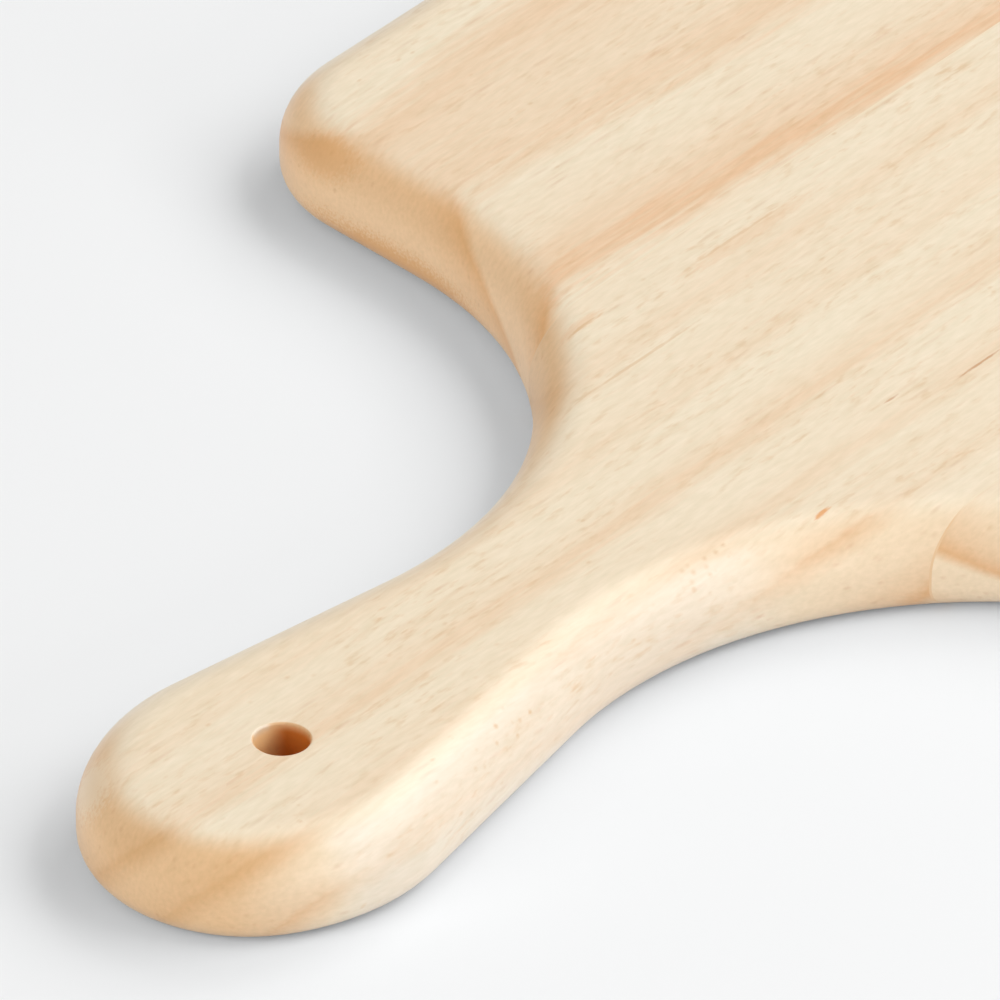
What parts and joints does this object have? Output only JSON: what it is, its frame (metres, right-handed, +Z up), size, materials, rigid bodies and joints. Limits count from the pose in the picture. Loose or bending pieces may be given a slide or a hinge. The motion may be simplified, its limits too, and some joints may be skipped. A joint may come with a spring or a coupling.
{
  "type": "serving board",
  "caption": "Paddle-shaped pine serving board of edge-glued staves, with a waisted handle, well rounded edges and a hanging hole.",
  "frame": {"origin": "centre of the board's length and width, on the surface that its underside lies on", "axes": "+X along the board from the handle to the far end, +Y to the left as seen from the handle, +Z up out of the serving face"},
  "size_m": [0.48, 0.268, 0.018],
  "materials": {
    "left_stave_pine": "satin oiled pine with wide peach and cream growth bands",
    "handle_stave_pine": "satin oiled pine, cream with short brown flecks along the grain",
    "right_stave_pine": "satin oiled pine, cream with wide growth bands",
    "glue": "cured wood glue, sanded flush and oiled with the wood"
  },
  "bodies": {
    "root": {"left_stave": "left_stave_pine", "left_glue_line": "glue", "handle_stave": "handle_stave_pine", "right_glue_line": "glue", "right_stave": "right_stave_pine"}
  },
  "joints": []
}
